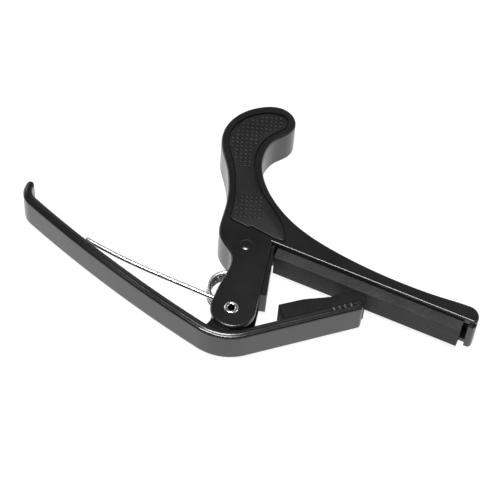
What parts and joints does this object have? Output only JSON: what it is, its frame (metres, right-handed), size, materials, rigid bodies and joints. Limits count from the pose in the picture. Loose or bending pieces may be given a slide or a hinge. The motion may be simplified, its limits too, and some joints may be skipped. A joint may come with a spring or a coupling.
{
  "type": "guitar capo",
  "caption": "Spring-loaded trigger capo: handled casting with a padded fretboard bar, and a hinged lever with squeeze arm and padded jaw.",
  "frame": {"origin": "middle of the capo's bounding box on its underside, where it lies on its flat side", "axes": "+X along the fretboard bar towards its free end, +Y from the lever towards the handle's head, +Z along the pivot axis"},
  "size_m": [0.1188, 0.07, 0.0114],
  "materials": {
    "black_paint": "semi-gloss black powder coat on a zinc casting",
    "grip_black": "satin black moulded rubber with a fine raised grid",
    "pad_rubber": "matte dark grey silicone rubber",
    "spring_steel": "bright drawn spring wire",
    "rivet_steel": "nickel-plated steel"
  },
  "bodies": {
    "body": {"body_casting": "black_paint", "grip_inlay_front": "grip_black", "grip_inlay_back": "grip_black", "fretboard_pad": "pad_rubber", "pivot_rivet": "rivet_steel", "spring_anchor_pin": "black_paint", "spring_coil": "spring_steel"},
    "lever": {"lever": "black_paint", "neck_pad": "pad_rubber"},
    "spring_leg": {"spring_leg": "spring_steel"}
  },
  "joints": [
    {"name": "lever_pivot", "type": "hinge", "parent": "body", "child": "lever", "pos_m": [0.0028, -0.0261, 0.0056], "axis": [0, 0, -1], "range_deg": [0, 35], "stiffness_Nm_per_rad": 0.15, "springref_deg": -57.3},
    {"name": "spring_wind", "type": "hinge", "parent": "body", "child": "spring_leg", "pos_m": [-0.0013, -0.0197, 0.0088], "axis": [0, 0, -1], "range_deg": [0, 42]}
  ],
  "couplings": [
    {"joint": "spring_wind", "follows": "lever_pivot", "ratio": 1.195}
  ]
}
